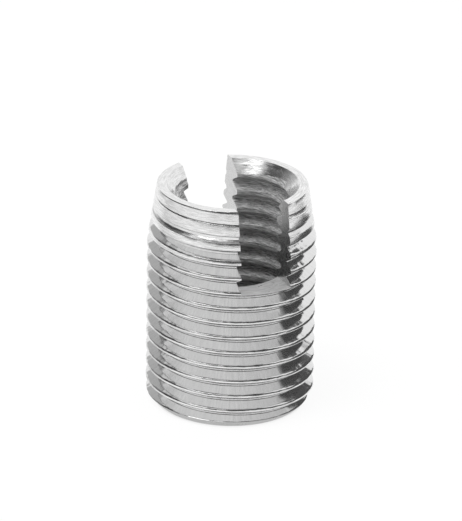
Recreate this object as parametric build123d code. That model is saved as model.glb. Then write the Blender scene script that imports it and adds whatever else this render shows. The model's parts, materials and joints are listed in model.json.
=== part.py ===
from build123d import *
import os
from math import ceil, sqrt

# A slotted self-tapping thread insert for an M12 screw: one turned steel bush with a
# 16 x 1.5 cutting thread outside and a bore of M12 minor diameter. It stands on its plain
# (tail) end with its axis along +Z. The origin is the centre of the tail end face, and
# the cutting slot crosses the upper (entry) end along Y, through both walls.
# Lengths are in millimetres and angles in degrees.

# ---------------------------------------------------------------- driving dimensions

insert_length = 21.8            # end face to end face, sold as 22
left_hand = True                # hand of the thread; False turns the usual right-hand insert

outer_thread_diameter = 16.0    # over the crests
outer_pitch = 1.5
outer_thread_depth = 1.08       # from the crest edge down to the root edge
outer_start_angle = 171.0       # where the root edge meets the tail face, from +X

screw_thread_diameter = 12.0    # nominal size of the screw that it takes
screw_pitch = 1.75

entry_diameter = 14.2           # small end of the lead-in taper
entry_taper_length = 5.6        # from the slotted end face to the full diameter
entry_rim_chamfer = 0.15        # broken edge round the slotted end face
entry_land = 0.7                # flat ring left between rim and countersink

tail_chamfer = 0.95             # 45 degree chamfer round the tail end
tail_land = 0.95                # flat ring that the insert stands on

slot_width = 5.1
slot_depth = 8.1                # down from the slotted end face

bar_allowance = 0.3             # how far the bar stands out past the crests before threading
cut_overrun = 1.0               # how far cutting bodies run past what they cut

# ---------------------------------------------------------------- sizes that follow

outer_radius = outer_thread_diameter / 2
outer_root_radius = outer_radius - outer_thread_depth
bar_radius = outer_radius + bar_allowance

# a 60 degree screw thread is five eighths of its sharp triangle deep
screw_thread_depth = 5 / 8 * screw_pitch * sqrt(3) / 2
bore_radius = screw_thread_diameter / 2 - screw_thread_depth

entry_radius = entry_diameter / 2
entry_face_radius = entry_radius - entry_rim_chamfer
entry_mouth_radius = entry_face_radius - entry_land
entry_countersink = entry_mouth_radius - bore_radius
taper_run = (entry_taper_length - entry_rim_chamfer) / (outer_radius - entry_radius)

tail_face_radius = outer_radius - tail_chamfer
tail_mouth_radius = tail_face_radius - tail_land
tail_countersink = tail_mouth_radius - bore_radius


def turned_blank():
    """The bush before threading, with its entry taper, chamfers and countersunk bore."""
    half_section = [
        (bore_radius, tail_countersink),
        (tail_mouth_radius, 0),
        (tail_face_radius, 0),
        (bar_radius, tail_chamfer + bar_allowance),
        (bar_radius, insert_length - entry_taper_length - bar_allowance * taper_run),
        (entry_radius, insert_length - entry_rim_chamfer),
        (entry_face_radius, insert_length),
        (entry_mouth_radius, insert_length),
        (bore_radius, insert_length - entry_countersink),
    ]
    with BuildPart() as blank:
        with BuildSketch(Plane.XZ):
            with BuildLine():
                Polyline(*half_section, close=True)
            make_face()
        revolve(axis=Axis.Z)
    return blank.part


def thread_swarf():
    """The metal that threading takes off: all that lies outside a sharp V thread.

    Its section is one V groove, carried out past the bar, and its turns run past both
    ends of the insert. Each turn has faces of its own, so that the long helix stays exact.
    """
    wall_radius = bar_radius + cut_overrun
    section = [
        (wall_radius, -outer_pitch / 2),
        (outer_radius, -outer_pitch / 2),
        (outer_root_radius, 0),
        (outer_radius, outer_pitch / 2),
        (wall_radius, outer_pitch / 2),
    ]
    turns = ceil(insert_length / outer_pitch) + 2
    faces = []
    for turn in range(turns):
        turn_height = (turn - 1) * outer_pitch
        rails = [
            Pos(0, 0, turn_height + height)
            * Rot(0, 0, outer_start_angle)
            * Edge.make_helix(outer_pitch, outer_pitch, radius, lefthand=left_hand)
            for radius, height in section
        ]
        strips = [
            Face.make_surface_from_curves(rail, next_rail)
            for rail, next_rail in zip(rails, rails[1:] + rails[:1])
        ]
        bottom_ledge, lower_flank, upper_flank, top_ledge, wall = strips
        faces += [lower_flank, upper_flank, wall]
        if turn == 0:
            start_cap = Face(Wire.make_polygon([rail @ 0 for rail in rails]))
            faces += [bottom_ledge, start_cap]
        if turn == turns - 1:
            end_cap = Face(Wire.make_polygon([rail @ 1 for rail in rails]))
            faces += [top_ledge, end_cap]
    return Solid(Shell(faces))


def cutting_slot():
    """The slot across the entry end, through both walls, with a flat floor."""
    slot = Box(
        slot_width,
        2 * (bar_radius + cut_overrun),
        slot_depth + cut_overrun,
        align=(Align.CENTER, Align.CENTER, Align.MIN),
    )
    return Pos(0, 0, insert_length - slot_depth) * slot


thread_insert = turned_blank() - thread_swarf() - cutting_slot()

os.makedirs("parts", exist_ok=True)
export_step(thread_insert, "parts/thread_insert.step")

print("root radius of the outer thread", round(outer_root_radius, 3))
print("bore radius", round(bore_radius, 3))
print("wall behind the outer thread", round(outer_root_radius - bore_radius, 3))
print("volume in cubic millimetres", round(thread_insert.volume, 1))
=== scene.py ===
# %% [markdown]
# # A slotted thread insert
#
# This part is a short steel bush with a screw thread outside and another inside, and a slot
# sawn across its upper end. Screwed into a plain hole, it cuts its own thread and leaves a
# strong one for a screw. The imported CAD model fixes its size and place. Here the same bush
# is made again with real thread edges and tool marks, and set on a white table in a light
# tent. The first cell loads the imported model, which everything below is measured from.

import json
import math

import bmesh
import bpy
import numpy as np
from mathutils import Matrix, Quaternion, Vector


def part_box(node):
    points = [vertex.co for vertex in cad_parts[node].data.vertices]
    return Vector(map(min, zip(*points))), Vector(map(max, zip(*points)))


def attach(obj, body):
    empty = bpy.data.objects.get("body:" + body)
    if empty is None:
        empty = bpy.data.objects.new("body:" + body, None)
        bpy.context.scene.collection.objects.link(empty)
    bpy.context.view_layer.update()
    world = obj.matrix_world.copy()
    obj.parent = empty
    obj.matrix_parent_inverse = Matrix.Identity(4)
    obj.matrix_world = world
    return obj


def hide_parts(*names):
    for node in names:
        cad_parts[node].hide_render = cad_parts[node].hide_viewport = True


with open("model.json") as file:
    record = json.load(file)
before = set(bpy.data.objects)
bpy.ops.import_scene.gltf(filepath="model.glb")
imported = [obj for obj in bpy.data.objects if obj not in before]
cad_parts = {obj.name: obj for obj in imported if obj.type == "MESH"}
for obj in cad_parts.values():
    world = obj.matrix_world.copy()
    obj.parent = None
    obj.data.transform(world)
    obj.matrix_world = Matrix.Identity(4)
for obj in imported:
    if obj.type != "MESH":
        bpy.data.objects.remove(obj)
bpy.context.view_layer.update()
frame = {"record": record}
insert_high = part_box("thread_insert")[1]
mounts = {mount["name"]: mount for mount in frame["record"]["mounts"]}
mm = 0.001

# %% [markdown]
# ## Sizes
#
# Blender works in metres, so each length is written as so many times mm. The length, the
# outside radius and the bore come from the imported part. The rest is what its maker chose:
# a 16 x 1.5 thread outside, an M12 x 1.75 thread inside, a tapered entry with a countersunk
# mouth, and a slot. The crests stay a hair inside the CAD box, so that nothing passes it.

# %% Sizes of the whole bush
length = insert_high[2]
crest_radius = insert_high[0] - 0.006 * mm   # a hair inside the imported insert
bore_radius = mounts["screw_thread"]["dims"]["r_mm"] * mm

entry_radius = 7.1 * mm                      # small end of the lead-in taper
entry_taper_start = length - 5.6 * mm
rim_chamfer = 0.06 * mm
rim_radius = entry_radius - rim_chamfer
entry_mouth_radius = entry_radius - 0.85 * mm
tail_chamfer = 0.95 * mm
tail_radius = insert_high[0] - tail_chamfer
tail_mouth_radius = tail_radius - 0.95 * mm  # leaves the ring that the bush stands on
slot_width = 5.1 * mm
slot_floor = length - 8.1 * mm
print("length", round(length / mm, 2), "mm, bore radius", round(bore_radius / mm, 3), "mm")

# %% [markdown]
# Both threads are left-hand. Toward the small end the outer grooves grow shallow and their
# edges crisp, so the first turns only scratch the wall of a hole and the full ones, further
# on, cut it. An edge size here is the size of the small round that a corner gets.

# %% Sizes of the two threads
hand = -1                                    # left-hand threads; 1 would be right-hand

outer_thread = {
    "pitch": 1.5 * mm,
    "crest": crest_radius,
    "outward": 1,                            # the crest is the outermost part
    "depth": 0.99 * mm,
    "crest_flat": 0.23 * mm,
    "root_flat": 0.13 * mm,
    "root_angle": math.radians(171),
    "edge": 0.095 * mm,
    "entry_edge": 0.035 * mm,
    "root_edge": 0.05 * mm,
    "fades_from": length - 4.6 * mm,         # where the grooves start to grow shallow
    "fades_over": 3.6 * mm,
    "groove_left": 0.06 * mm,
}
screw_thread = {
    "pitch": 1.75 * mm,
    "crest": bore_radius,
    "outward": -1,                           # here the crest is the innermost part
    "depth": 6.0 * mm - bore_radius,
    "crest_flat": 1.75 * mm / 4,
    "root_flat": 1.75 * mm / 8,
    "root_angle": math.radians(141),
    "edge": 0.05 * mm,
    "entry_edge": 0.05 * mm,
    "root_edge": 0.12 * mm,
    "fades_from": length - 1.25 * mm,        # this one runs out in the countersink
    "fades_over": 0.35 * mm,
    "groove_left": 0.01 * mm,
}
for name, thread in (("outer", outer_thread), ("screw", screw_thread)):
    print(name, "thread turns", round(length / thread["pitch"], 1))

# %% [markdown]
# ## A thread as a grid of helical lines
#
# A thread has no rings in it: each of its edges is one helix from end to end. It could be
# made with the Screw modifier, but that gives the same section everywhere, and here the
# taper cuts the crests away bit by bit. So the mesh is a grid whose lines follow the edges
# up the bush, and a line that has gone once round carries on as that line of the next turn.
# Each point is a height and a depth below the crest, so one set of functions makes both
# threads. A turned surface, such as the taper, is a straight line of depth against height.

# %% The turned surfaces that trim the crests
taper_growth = (crest_radius - entry_radius) / (length - rim_chamfer - entry_taper_start)

# each is (depth at height zero, growth of depth with height)
outer_trims = [
    (0.0, 0.0),
    (crest_radius - tail_radius, -1.0),
    (-taper_growth * entry_taper_start, taper_growth),
    (crest_radius - rim_radius - length, 1.0),
]
screw_trims = [
    (0.0, 0.0),
    (tail_mouth_radius - bore_radius, -1.0),
    (entry_mouth_radius - bore_radius - length, 1.0),
]

# heights at which one turned surface meets the next
outer_corners = [tail_chamfer, entry_taper_start, length - rim_chamfer]
screw_corners = [tail_mouth_radius - bore_radius, length - entry_mouth_radius + bore_radius]


def trim_depth(trims, height):
    """Depth of the turned surface below the full crest, at each height."""
    return np.max([start + growth * height for start, growth in trims], axis=0)


print("the taper loses", round(taper_growth, 3), "mm of radius for each mm of height")

# %% [markdown]
# A cut edge is never quite sharp and never quite even. Its small round is what catches the
# light as a fine line, so it's made in the mesh: where two surfaces cross, the depth passes
# from one to the other over a short way. The edges also wander a little, from a seeded
# random number source, so that every run makes the same bush. The upper edges wander most.

# %% Corners that are a little round
def deeper(a, b, round_size):
    """The larger of two depths, with a small round where they cross."""
    return 0.5 * (a + b + np.sqrt((a - b) ** 2 + round_size ** 2))


def shallower(a, b, round_size):
    """The smaller of two depths, with a small round where they cross."""
    return -deeper(-a, -b, round_size)


print("a 0.1 mm round takes", round(float(deeper(0.0, 0.0, 0.1)), 3), "mm off a corner")

# %% Repeatable unevenness along an edge
seed = 12
rng = np.random.default_rng(seed)


def ragged(count, spread):
    """Random wander along a helix, about 1 in size, that changes over some steps."""
    kernel = np.hanning(spread + 2)[1:-1]
    raw = rng.standard_normal(count + len(kernel) - 1)
    wander = np.convolve(raw, kernel / np.linalg.norm(kernel), mode="valid")
    return np.clip(wander, -2, 2)


print("edges wander by random numbers from seed", seed)

# %% Steps round the bush, and how uneven the edges are
steps = 200                                  # grid steps round the bush
angles = np.arange(steps) * 2 * math.pi / steps
corner_hug = 0.02 * mm                       # from a turned corner to the lines beside it
upper_crest_wander = 0.08                    # as shares of half the crest
lower_crest_wander = 0.01
round_wander = 0.22                          # as a share of the round
lower_round = 0.7                            # the lower edge's round, against the upper one's
round_lost = 0.6                             # how much of the round the shallow end loses
print("each grid line takes", steps, "steps round the bush")


# %% The lines of one turn
def turn_lines(thread, trims, corners, turn):
    """Heights, depths and crest marks of one turn's lines at every angle, root to root."""
    pitch = thread["pitch"]
    depth = thread["depth"]
    half_root = thread["root_flat"] / 2
    root_edge = thread["root_edge"]
    half_crest = thread["crest_flat"] / 2
    rise = depth / (pitch / 2 - half_crest - half_root)      # depth gained per height
    upper_crest = half_crest * (1 + upper_crest_wander * ragged(steps, 1))
    lower_crest = half_crest * (1 + lower_crest_wander * ragged(steps, 3))
    centre = hand * pitch * (angles - thread["root_angle"]) / (2 * math.pi)
    centre = centre + (turn + 0.5) * pitch
    up_taper = np.clip((centre - entry_taper_start) / (length - entry_taper_start), 0, 1)
    edge = thread["edge"] + up_taper * (thread["entry_edge"] - thread["edge"])
    low_root = centre - pitch / 2 + half_root
    high_root = centre + pitch / 2 - half_root

    # where the two flanks meet the turned surface
    low_meets = [((centre - lower_crest) * rise - a) / (rise + b) for a, b in trims]
    high_meets = [((centre + upper_crest) * rise + a) / (rise - b) for a, b in trims]
    low_edge = np.maximum(np.min(low_meets, axis=0), low_root)
    high_edge = np.minimum(np.max(high_meets, axis=0), high_root)
    middle = 0.5 * (low_edge + high_edge)
    step = np.minimum(0.7 * edge, 0.5 * (high_edge - middle))

    # two lines hug each corner, wherever it falls in this turn
    beside = [corner + side * corner_hug for corner in corners for side in (-1, 1)]
    hugging = [np.clip(height, low_root, high_root) for height in beside]
    heights = np.sort(np.array([
        low_root - 0.8 * half_root, low_root, low_root + 0.6 * root_edge,
        low_edge - edge, low_edge - 0.4 * edge, low_edge,
        low_edge + 0.5 * step, low_edge + step, middle, high_edge - step, high_edge - 0.5 * step,
        high_edge, high_edge + 0.4 * edge, high_edge + edge,
        high_root - 0.6 * root_edge, high_root, high_root + 0.8 * half_root,
    ] + hugging), axis=0)
    lower_flank = (centre - lower_crest - heights) * rise
    upper_flank = (heights - centre - upper_crest) * rise
    flanks = np.maximum(lower_flank, upper_flank)
    trim = trim_depth(trims, heights)
    faded = np.clip((heights - thread["fades_from"]) / thread["fades_over"], 0, 1)
    floor_depth = depth + faded * (trim + thread["groove_left"] - depth)
    form = shallower(flanks, floor_depth, root_edge)
    upper_round = edge * (1 + round_wander * ragged(steps, 2))
    crest_round = np.where(heights > centre, upper_round, lower_round * edge)
    depths = deeper(form, trim, crest_round * (1 - round_lost * faded))
    return heights, depths, flanks < trim


# %% Try one turn
heights, depths, on_crest = turn_lines(outer_thread, outer_trims, outer_corners, 5)
print("one turn has", len(heights), "lines, at depths", np.round(depths[:, 0] / mm, 2))

# %% [markdown]
# The turns start below the tail and end above the entry, and both end faces then cut them
# off. Points past an end face are moved onto it, at the depth that the thread has there, so
# the two end faces are flat rings with the true outline of the threads.

# %% All turns, cut off at the two end faces
def thread_grid(thread, trims, corners):
    """Heights, radii and crest marks of every line at every angle, and the lines in a turn."""
    turns = range(-2, math.ceil(length / thread["pitch"]) + 3)
    made = [turn_lines(thread, trims, corners, turn) for turn in turns]
    heights = np.maximum.accumulate(np.concatenate([lines[0] for lines in made]), axis=0)
    depths = np.concatenate([lines[1] for lines in made])
    on_crest = np.concatenate([lines[2] for lines in made])
    for column in range(steps):
        for end in (0.0, length):
            at_end = np.interp(end, heights[:, column], depths[:, column])
            beyond = heights[:, column] < end if end == 0.0 else heights[:, column] > end
            heights[beyond, column] = end
            depths[beyond, column] = at_end
    radii = thread["crest"] - thread["outward"] * depths
    return heights, radii, on_crest, len(heights) // len(turns)


outer_grid = thread_grid(outer_thread, outer_trims, outer_corners)
screw_grid = thread_grid(screw_thread, screw_trims, screw_corners)
print("grids of", outer_grid[0].shape, "outer and", screw_grid[0].shape, "inner points")

# %% [markdown]
# ## From two grids to a closed bush
#
# Each grid becomes a skin of four-sided faces. At the seam, where a line comes round again,
# a face joins it to the same line one turn up or down. Two flat rings close the ends, and
# points that share a place become one point. The faces also say which tool made them,
# because each tool leaves its own finish: flanks, turned crests, tapped bore, sawn slot. The
# slot's floor is sawn like its sides, but gets a lighter steel of its own as painted light,
# for a face that looks up. The five finishes get their slots, still empty, on the mesh now,
# and each face keeps its number through the cut that follows.

# %% Skin of one thread
flank_finish, turned_finish, tapped_finish, sawn_finish, slot_floor_painted_light_finish = range(5)


def add_skin(mesh, grid, finish_of):
    """Adds a thread's grid to the mesh and gives back its points, line by line."""
    heights, radii, on_crest, lines_per_turn = grid
    points = []
    for line_heights, line_radii in zip(heights, radii):
        points.append([
            mesh.verts.new((r * math.cos(a), r * math.sin(a), h))
            for r, a, h in zip(line_radii, angles, line_heights)
        ])
    last = len(points) - 1
    for line in range(last):
        for column in range(steps):
            ahead = (column + 1) % steps
            shift = hand * lines_per_turn if ahead == 0 else 0
            a = points[line][column]
            b = points[min(max(line + shift, 0), last)][ahead]
            c = points[min(max(line + 1 + shift, 0), last)][ahead]
            d = points[line + 1][column]
            if (a.co - d.co).length < 1e-9 and (b.co - c.co).length < 1e-9:
                continue
            corners = (a, b, d) if b is c else (a, b, c, d)
            face = mesh.faces.new(corners)
            crest = on_crest[line, column] and on_crest[line + 1, column]
            face.material_index = finish_of(crest, a.co.z)
    return points


print("finishes are numbered from", flank_finish, "to", slot_floor_painted_light_finish)

# %% Which tool made a face
dull_end = 3.2 * mm                          # the shallow first cuts stay as dull as the taper
smooth_mouth = 0.9 * mm                      # here the tap's groove has run out
entry_countersink = 1.15 * mm
tail_countersink = 0.9 * mm


def outer_finish(on_crest, height):
    """Crests and the small end are turned, and the other faces are cut flanks."""
    return turned_finish if on_crest or height > length - dull_end else flank_finish


def bore_finish(on_crest, height):
    """The two countersinks are turned, and all else inside is tapped."""
    below_mouth = length - height
    in_countersink = below_mouth < entry_countersink or height < tail_countersink
    if below_mouth < smooth_mouth or (on_crest and in_countersink):
        return turned_finish
    return tapped_finish


bush = bmesh.new()
outer_points = add_skin(bush, outer_grid, outer_finish)
screw_points = add_skin(bush, screw_grid, bore_finish)
print("faces in the two skins:", len(bush.faces))

# %% Close the ends and join the seams
for end in (0, -1):
    for column in range(steps):
        ahead = (column + 1) % steps
        face = bush.faces.new((
            outer_points[end][column], outer_points[end][ahead],
            screw_points[end][ahead], screw_points[end][column],
        ))
        face.material_index = turned_finish
bmesh.ops.remove_doubles(bush, verts=bush.verts, dist=0.0002 * mm)
loose = [point for point in bush.verts if not point.link_faces]
bmesh.ops.delete(bush, geom=loose, context="VERTS")
bmesh.ops.recalc_face_normals(bush, faces=bush.faces)
open_edges = [edge for edge in bush.edges if len(edge.link_faces) != 2]
print("open edges", len(open_edges), "- volume in mm3", round(bush.calc_volume() / mm ** 3, 1))

thread_body_mesh = bpy.data.meshes.new("thread_body")
bush.to_mesh(thread_body_mesh)
bush.free()
finish_names = [
    "thread_flank_steel", "turned_steel", "tapped_steel", "sawn_steel", "slot_floor_steel_painted_light",
]
for finish_name in finish_names:
    thread_body_mesh.materials.append(bpy.data.materials.new(finish_name))
thread_body = bpy.data.objects.new("thread_body", thread_body_mesh)
bpy.context.scene.collection.objects.link(thread_body)

# %% [markdown]
# ## The slot
#
# The slot is sawn through both walls, so it cuts across every turn of both threads and
# leaves their section in view. A Boolean modifier does the same: a plain box is the saw, and
# the exact solver keeps the thin edges of the teeth clean. Then the saw is thrown away.

# %% Saw the slot
saw_mesh = bpy.data.meshes.new("saw")
saw_box = bmesh.new()
bmesh.ops.create_cube(saw_box, size=1)
for point in saw_box.verts:
    point.co.x *= slot_width
    point.co.y *= 20 * mm
    point.co.z = slot_floor if point.co.z < 0 else length + mm
saw_box.to_mesh(saw_mesh)
saw_box.free()
saw = bpy.data.objects.new("saw", saw_mesh)
bpy.context.scene.collection.objects.link(saw)
print("saw is", round(slot_width / mm, 2), "mm wide and stops", round(slot_floor / mm, 2), "mm up")

# %% Take away what the saw covers
cut = thread_body.modifiers.new("slot", "BOOLEAN")
cut.operation = "DIFFERENCE"
cut.solver = "EXACT"
cut.object = saw
depsgraph = bpy.context.evaluated_depsgraph_get()
slotted = bpy.data.meshes.new_from_object(thread_body.evaluated_get(depsgraph))
thread_body.modifiers.clear()
thread_body.data = slotted
bpy.data.objects.remove(saw)
print("faces left after the cut:", len(slotted.polygons))

# %% Smooth shading, with the cut edges kept sharp
slotted.shade_smooth()
slotted.set_sharp_from_angle(angle=math.radians(38))
sawn_faces = 0
square_on = 0.999                            # how squarely a cut face looks out of the slot
near = 0.001 * mm
for face in slotted.polygons:
    off_centre = abs(face.center.x)
    on_side = abs(face.normal.x) > square_on and abs(off_centre - slot_width / 2) < near
    on_floor = face.normal.z > square_on and abs(face.center.z - slot_floor) < near
    if on_side or on_floor:
        # the floor gets the lighter copy of the sawn steel: painted light on a face that looks up
        face.material_index = sawn_finish if on_side else slot_floor_painted_light_finish
        sawn_faces += 1
slotted.calc_loop_triangles()
print("triangles", len(slotted.loop_triangles), "- sawn faces", sawn_faces)

# %% [markdown]
# ## Steel, with the marks of each tool
#
# Bright zinc plating on steel is a metal with almost no colour of its own: what shows is
# the room, seen through fine tool marks. The marks are too small for the mesh, so a Bump
# node tilts the surface by a degree or two. All five finishes are one recipe with other
# numbers: lines that run round the bush, lines that run across the flanks, and grain.
# Noise stretched along the angle gives the first, and noise stretched along the radius the
# second. The angle's seam is put at the back, inside the slot.

# %% Coordinates round the axis
def round_the_axis(tree):
    """Sockets for the way round the bush, the radius and the height, all in metres."""
    place = tree.nodes.new("ShaderNodeTexCoord")
    split = tree.nodes.new("ShaderNodeSeparateXYZ")
    tree.links.new(place.outputs["Object"], split.inputs[0])

    turned = tree.nodes.new("ShaderNodeMath")
    turned.operation = "MULTIPLY"
    turned.inputs[1].default_value = -1.0
    tree.links.new(split.outputs["Y"], turned.inputs[0])
    angle = tree.nodes.new("ShaderNodeMath")
    angle.operation = "ARCTAN2"
    tree.links.new(split.outputs["X"], angle.inputs[0])
    tree.links.new(turned.outputs[0], angle.inputs[1])
    arc = tree.nodes.new("ShaderNodeMath")
    arc.operation = "MULTIPLY"
    arc.inputs[1].default_value = crest_radius
    tree.links.new(angle.outputs[0], arc.inputs[0])

    flat = tree.nodes.new("ShaderNodeCombineXYZ")
    tree.links.new(split.outputs["X"], flat.inputs["X"])
    tree.links.new(split.outputs["Y"], flat.inputs["Y"])
    radius = tree.nodes.new("ShaderNodeVectorMath")
    radius.operation = "LENGTH"
    tree.links.new(flat.outputs[0], radius.inputs[0])
    return arc.outputs[0], radius.outputs["Value"], split.outputs["Z"]


# %% Noise stretched to a tool's marks
def marks(tree, place, lengths, detail=2.0):
    """Noise with features of these lengths: round the bush, along the radius, up the height."""
    joined = tree.nodes.new("ShaderNodeCombineXYZ")
    for socket, source, size in zip(joined.inputs, place, lengths):
        scaled = tree.nodes.new("ShaderNodeMath")
        scaled.operation = "DIVIDE"
        scaled.inputs[1].default_value = size
        tree.links.new(source, scaled.inputs[0])
        tree.links.new(scaled.outputs[0], socket)
    noise = tree.nodes.new("ShaderNodeTexNoise")
    noise.inputs["Scale"].default_value = 1.0
    noise.inputs["Detail"].default_value = detail
    tree.links.new(joined.outputs[0], noise.inputs["Vector"])
    return noise.outputs["Fac"]


# %% The recipe for a steel finish
def steel(name, shade_and_sheen_greys, metal, roughness, layers):
    """Steel between two greys, as painted shade and sheen. Each layer is (lengths of its marks,
    their depth, noise detail).
    """
    material = bpy.data.materials[name]
    material.use_nodes = True
    tree = material.node_tree
    shader = tree.nodes["Principled BSDF"]
    shader.inputs["Metallic"].default_value = metal
    place = round_the_axis(tree)

    # painted shade and sheen: the longest marks are a little darker in their bottoms, lighter on
    # top
    painted_shade_and_sheen = tree.nodes.new("ShaderNodeMapRange")
    painted_shade_and_sheen.inputs["From Min"].default_value = 0.3
    painted_shade_and_sheen.inputs["From Max"].default_value = 0.7
    painted_shade_and_sheen.inputs["To Min"].default_value = shade_and_sheen_greys[0]
    painted_shade_and_sheen.inputs["To Max"].default_value = shade_and_sheen_greys[1]
    tree.links.new(marks(tree, place, layers[0][0], layers[0][2]), painted_shade_and_sheen.inputs["Value"])
    tree.links.new(painted_shade_and_sheen.outputs["Result"], shader.inputs["Base Color"])

    tilt = None
    for lengths, depth, detail in layers:
        bump = tree.nodes.new("ShaderNodeBump")
        bump.inputs["Distance"].default_value = depth
        tree.links.new(marks(tree, place, lengths, detail), bump.inputs["Height"])
        if tilt:
            tree.links.new(tilt, bump.inputs["Normal"])
        tilt = bump.outputs[0]
    tree.links.new(tilt, shader.inputs["Normal"])

    # handling and plating leave the shine uneven
    worn = tree.nodes.new("ShaderNodeMapRange")
    worn.inputs["From Min"].default_value = 0.3
    worn.inputs["From Max"].default_value = 0.7
    worn.inputs["To Min"].default_value = roughness * 0.75
    worn.inputs["To Max"].default_value = roughness * 1.3
    tree.links.new(marks(tree, place, (0.9 * mm, 0.5 * mm, 0.3 * mm), 3.0), worn.inputs["Value"])
    tree.links.new(worn.outputs["Result"], shader.inputs["Roughness"])
    print(name, "- roughness about", roughness, "-", len(layers), "layers of marks")
    return material


# %% The five finishes
um = 0.001 * mm
finishes = [
    steel("thread_flank_steel", (0.72, 0.77), 1.0, 0.12, [
        ((0.17 * mm, 1.8 * mm, 2.4 * mm), 2.0 * um, 1.0),
        ((0.08 * mm, 0.08 * mm, 0.08 * mm), 0.2 * um, 1.0),
    ]),
    steel("turned_steel", (0.68, 0.92), 1.0, 0.22, [
        ((1.2 * mm, 0.16 * mm, 0.10 * mm), 2.4 * um, 2.0),
        ((0.40 * mm, 0.12 * mm, 0.07 * mm), 4.5 * um, 2.0),
    ]),
    # the bore's two greys lie far apart: painted streaks of light and shade along the thread
    steel("tapped_steel", (0.14, 1.0), 0.50, 0.36, [
        ((1.2 * mm, 0.10 * mm, 0.06 * mm), 8.0 * um, 3.0),
        ((0.12 * mm, 0.08 * mm, 0.05 * mm), 7.0 * um, 2.0),
    ]),
    steel("sawn_steel", (0.58, 0.66), 1.0, 0.28, [
        ((0.06 * mm, 0.06 * mm, 0.9 * mm), 1.0 * um, 2.0),
    ]),
    # slot floor: its own saw marks, with lighter greys than the sides as painted light where it
    # looks up
    steel("slot_floor_steel_painted_light", (0.62, 0.90), 0.50, 0.34, [
        ((1.2 * mm, 0.16 * mm, 0.30 * mm), 2.0 * um, 2.0),
        ((0.12 * mm, 0.10 * mm, 0.10 * mm), 2.0 * um, 2.0),
    ]),
]
made_by = [slotted.materials[face.material_index].name for face in slotted.polygons]
print({finish.name: made_by.count(finish.name) for finish in finishes})

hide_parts("thread_insert")
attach(thread_body, "root")

# %% [markdown]
# ## A white table in a light tent
#
# Metal shows its surroundings, so the surroundings are most of its look. The tent is white
# all round: the world is white to the camera and to reflections, and plainer for soft
# light. The table is white paper that does the same, so the insert stands on pure white and
# still has its shadow. A mask by distance from the axis takes the paper's glow away inside
# the bore and over a thin ring just round the foot: that ring is painted shade, seen under
# the insert and mirrored in its tail chamfer.

# %% How a ray is told from soft light
def seen_or_mirrored(tree):
    """A socket that is 1 for camera, mirror and glass rays, and 0 for soft light."""
    path = tree.nodes.new("ShaderNodeLightPath")
    first = tree.nodes.new("ShaderNodeMath")
    first.operation = "MAXIMUM"
    tree.links.new(path.outputs["Is Camera Ray"], first.inputs[0])
    tree.links.new(path.outputs["Is Glossy Ray"], first.inputs[1])
    both = tree.nodes.new("ShaderNodeMath")
    both.operation = "MAXIMUM"
    tree.links.new(first.outputs[0], both.inputs[0])
    tree.links.new(path.outputs["Is Transmission Ray"], both.inputs[1])
    return both.outputs[0]


# %% The tent
tent = bpy.data.worlds.new("white_tent")
bpy.context.scene.world = tent
tent.use_nodes = True
soft_level = 0.7
tree = tent.node_tree
brightness = tree.nodes.new("ShaderNodeMapRange")
brightness.inputs["To Min"].default_value = soft_level
brightness.inputs["To Max"].default_value = 1.0
tree.links.new(seen_or_mirrored(tree), brightness.inputs["Value"])
tree.links.new(brightness.outputs["Result"], tree.nodes["Background"].inputs["Strength"])
tree.nodes["Background"].inputs["Color"].default_value = (1, 1, 1, 1)
print("tent is 1 to the camera and to mirrors, and", soft_level, "to soft light")

# %% The table
half = 2.0                                   # metres from the middle to each side
table_mesh = bpy.data.meshes.new("table")
table_corners = [(-half, -half, 0), (half, -half, 0), (half, half, 0), (-half, half, 0)]
table_mesh.from_pydata(table_corners, [], [(0, 1, 2, 3)])
table = bpy.data.objects.new("table", table_mesh)
bpy.context.scene.collection.objects.link(table)
print("table is", 2 * half, "metres square")

# %% Its white paper
paper = bpy.data.materials.new("white_paper")
paper.use_nodes = True
tree = paper.node_tree
tree.nodes["Principled BSDF"].inputs["Base Color"].default_value = (0.9, 0.9, 0.9, 1)
tree.nodes["Principled BSDF"].inputs["Roughness"].default_value = 0.9
glow = tree.nodes.new("ShaderNodeEmission")
glow.inputs["Strength"].default_value = 1.03
from_axis = round_the_axis(tree)[1]
# painted shade: no glow within 6.6 mm of the axis, full glow past 7.3 mm, a thin dark ring round
# the foot
glow_past_painted_foot_shade = tree.nodes.new("ShaderNodeMapRange")
glow_past_painted_foot_shade.inputs["From Min"].default_value = 6.6 * mm
glow_past_painted_foot_shade.inputs["From Max"].default_value = 7.3 * mm
glow_past_painted_foot_shade.inputs["To Max"].default_value = 0.88
tree.links.new(from_axis, glow_past_painted_foot_shade.inputs["Value"])
share = tree.nodes.new("ShaderNodeMath")
share.operation = "MULTIPLY"
tree.links.new(seen_or_mirrored(tree), share.inputs[0])
tree.links.new(glow_past_painted_foot_shade.outputs["Result"], share.inputs[1])
mix = tree.nodes.new("ShaderNodeMixShader")
tree.links.new(share.outputs[0], mix.inputs["Fac"])
tree.links.new(tree.nodes["Principled BSDF"].outputs[0], mix.inputs[1])
tree.links.new(glow.outputs[0], mix.inputs[2])
tree.links.new(mix.outputs[0], tree.nodes["Material Output"].inputs["Surface"])
table_mesh.materials.append(paper)
print("paper glows only for the camera and for mirrors")

# %% [markdown]
# In a tent that is white everywhere, bright metal looks flat. So a studio sets grey and
# black cards round it, out of view, and their reflections draw its edges and turns. Here a
# card is a patch of a sphere round the insert, given by the directions that it covers, so
# it's plain where it will be mirrored. Directions are read from straight behind the insert:
# degrees to the right, and degrees above the table.
#
# Each name says where its card stands. The left ones step from dark to light, so that the
# turns shade off toward the front. At the right a high card is mirrored straight off the
# flanks, and a low one by way of the turn above.

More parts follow.
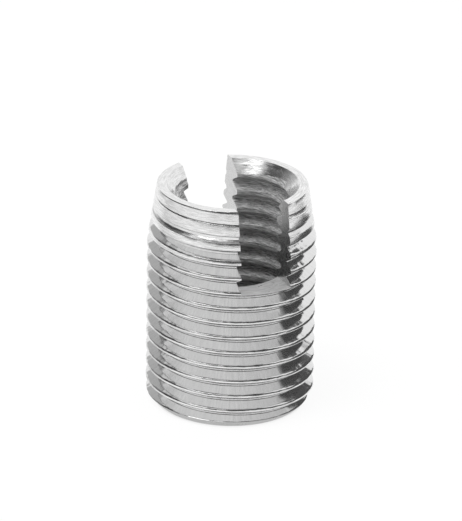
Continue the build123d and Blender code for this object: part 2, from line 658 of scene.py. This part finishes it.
# %% Directions round the insert
view_turn = math.radians(25.573)
behind = Vector((math.sin(view_turn), math.cos(view_turn), 0))
right = Vector((math.cos(view_turn), -math.sin(view_turn), 0))
up = Vector((0, 0, 1))
centre_point = up * length / 2


def toward(side, elevation):
    """Unit direction: side in degrees to the right of straight behind, and elevation."""
    s = math.radians(side)
    e = math.radians(elevation)
    return (behind * math.cos(s) + right * math.sin(s)) * math.cos(e) + up * math.sin(e)


print("straight behind is", [round(v, 3) for v in toward(0, 0)])

# %% A card that only reflections see
def put_card(name, points, faces, level):
    """Adds a card of one grey, from 0 for black to 1 for white."""
    material = bpy.data.materials.new(name + "_grey")
    material.use_nodes = True
    tree = material.node_tree
    tree.nodes.remove(tree.nodes["Principled BSDF"])
    glow = tree.nodes.new("ShaderNodeEmission")
    glow.inputs["Color"].default_value = (level, level, level, 1)
    tree.links.new(glow.outputs[0], tree.nodes["Material Output"].inputs["Surface"])
    mesh = bpy.data.meshes.new(name)
    mesh.from_pydata(points, [], faces)
    mesh.materials.append(material)
    card = bpy.data.objects.new(name, mesh)
    card.visible_camera = False
    card.visible_diffuse = False
    card.visible_shadow = False
    bpy.context.scene.collection.objects.link(card)


# %% A card that covers a patch of the tent
def dome_card(name, sides, elevations, distance, level):
    """A card that covers a range of sides and a range of elevations."""
    across = 12
    tall = 6
    points = []
    for j in range(tall + 1):
        elevation = elevations[0] + (elevations[1] - elevations[0]) * j / tall
        for i in range(across + 1):
            side = sides[0] + (sides[1] - sides[0]) * i / across
            points.append(centre_point + toward(side, elevation) * distance)
    row = across + 1
    faces = [
        (j * row + i, j * row + i + 1, (j + 1) * row + i + 1, (j + 1) * row + i)
        for j in range(tall) for i in range(across)
    ]
    put_card(name, points, faces, level)
    print(name, "covers sides", sides, "and elevations", elevations, "at grey", level)


# %% The cards in the air
dome_card("top_grey_card", (60, 300), (68, 89), 0.50, 0.40)
dome_card("top_left_dark_card", (-150, -98), (64, 86), 0.46, 0.12)
dome_card("front_dark_card", (84, 212), (1, 70), 0.52, 0.08)
dome_card("front_left_card", (-148, -110), (3, 52), 0.50, 0.22)
dome_card("left_upper_card", (-110, -30), (43, 70), 0.52, 0.78)
dome_card("left_high_dark_card", (-110, -58), (43, 54), 0.49, 0.08)
dome_card("left_dark_card", (-112, -63), (5, 43), 0.49, 0.05)
dome_card("left_middle_card", (-63, -49), (5, 43), 0.49, 0.24)
dome_card("left_grey_card", (-49, -27.5), (14, 43), 0.50, 0.50)
dome_card("left_low_card", (-66, -46), (-4, 5), 0.15, 0.58)
dome_card("right_high_card", (32, 56), (35, 52), 0.50, 0.09)
dome_card("right_low_card", (48, 78), (-4, 12), 0.15, 0.09)

# %% [markdown]
# The flanks lean so much that the turn above fills their reflection, except at both sides.
# They mirror its underside, and through it the table close by. So the strongest cards lie
# and stand on the table: grey paper in front, a dark ring where the insert's own shade
# falls, and a curved black card at the right. That one gives each turn a dark patch with
# a crisp edge, where the mirror of the turn above begins.

# %% Cards on the table
def table_card(name, sides, radii, level):
    """A card that lies on the table, between two radii round the insert."""
    count = 24
    lift = up * 0.02 * mm
    points = []
    for i in range(count + 1):
        out = toward(sides[0] + (sides[1] - sides[0]) * i / count, 0)
        points += [out * radii[0] + lift, out * radii[1] + lift]
    faces = [(2 * i, 2 * i + 1, 2 * i + 3, 2 * i + 2) for i in range(count)]
    put_card(name, points, faces, level)


table_card("shaded_ring", (0, 360), (7.0 * mm, 8.4 * mm), 0.55)
strip_width = 9                              # degrees of side
for strip in range(8):
    side = 108 + strip_width * strip
    level = 0.80 + 0.025 * strip
    table_card("grey_paper", (side, side + strip_width), (9 * mm, 70 * mm), level)
for strip in range(5):
    side = -66 - strip_width * strip
    level = 0.70 + 0.06 * strip
    table_card("left_paper", (side, side - strip_width), (9 * mm, 180 * mm), level)
print("table cards laid, in strips of", strip_width, "degrees")

# %% The curved black card at the right
wall_distance = 20 * mm
wall_foot = 0.03                             # millimetres above the table

# each is (side in degrees, height in millimetres)
wall_heights = [
    (50, 10), (55, 13.5), (60, 15.5), (66, 15.5), (74, 17), (84, 16.8), (96, 16.4), (109, 15),
]
wall_points = []
for side, height in wall_heights:
    foot = toward(side, 0) * wall_distance
    wall_points += [foot + up * wall_foot * mm, foot + up * height * mm]
wall_faces = [(2 * i, 2 * i + 1, 2 * i + 3, 2 * i + 2) for i in range(len(wall_heights) - 1)]
put_card("right_black_card", wall_points, wall_faces, 0.09)
print("black card has", len(wall_faces), "panels at", round(wall_distance / mm), "mm")

# %% Its softer grey edge
edge_points = [
    toward(side, 0) * wall_distance + up * height * mm
    for side in (109, 115) for height in (wall_foot, 14)
]
put_card("right_black_card_edge", edge_points, [(0, 1, 3, 2)], 0.30)
print("grey edge is", round((edge_points[2] - edge_points[0]).length / mm, 2), "mm wide")

# %% [markdown]
# Two lamps hang high in front. The first is as wide as a window and weak: its mirror image
# whitens the countersunk mouth, and nothing else burns out. The second is small and doesn't
# show in reflections. Polished faces ignore it, and only the duller tapped bore and slot
# floor, which scatter light, are lifted by it. Tent and lamps together light an open card
# that faces up at a level of 1, so a colour there renders as it's written.

# %% The lamps
def soft_lamp(name, side, elevation, distance, width, height, tilt, level, mirrored):
    """A flat lamp that looks as bright as the given level, where 1 is white."""
    data = bpy.data.lights.new(name, "AREA")
    data.shape = "RECTANGLE"
    data.size = width
    data.size_y = height
    data.energy = level * math.pi * width * height
    lamp = bpy.data.objects.new(name, data)
    lamp.visible_glossy = mirrored
    out = toward(side, elevation)
    lamp.location = centre_point + out * distance
    lamp.rotation_mode = "QUATERNION"
    aim = (-out).to_track_quat("-Z", "Y")
    lamp.rotation_quaternion = aim @ Quaternion((0, 0, 1), math.radians(tilt))
    bpy.context.scene.collection.objects.link(lamp)
    print(name, "gives", round(data.energy, 2), "watts")


soft_lamp("window", -135, 59, 0.48, 0.38, 0.11, 20, 1.3, True)
soft_lamp("overhead", -128, 72, 0.50, 0.16, 0.16, 0, 8.0, False)

# %% [markdown]
# ## The camera
#
# A small part is best seen from some way off with a long lens, so that it keeps its
# proportions. The camera looks down by about 24 degrees, enough to see into the bore.

# %% Set the camera
camera_data = bpy.data.cameras.new("camera")
camera_data.sensor_width = 36
camera_data.lens = 329.3
camera_data.clip_start = 0.01
camera_data.clip_end = 10
view_elevation = 23.711
view_distance = 0.45
camera = bpy.data.objects.new("camera", camera_data)
bpy.context.scene.collection.objects.link(camera)
bpy.context.scene.camera = camera
print("lens of", camera_data.lens, "mm, looking down by", view_elevation, "degrees")

# %% Aim it, with a slight roll
pivot = up * 11 * mm
camera.location = pivot + toward(180, view_elevation) * view_distance
roll = math.radians(0.99)
flat_up = toward(0, 90 - view_elevation)
true_up = flat_up * math.cos(roll) - right * math.sin(roll)
aim_rise = 2.653 * mm                        # sets the insert a little low in the frame
target = pivot + true_up * aim_rise
aim = (target - camera.location).to_track_quat("-Z", "Y")
camera.rotation_mode = "QUATERNION"
camera.rotation_quaternion = aim @ Quaternion((0, 0, 1), roll)
bpy.context.scene.view_settings.view_transform = "Standard"
print("camera at", [round(v, 3) for v in camera.location])
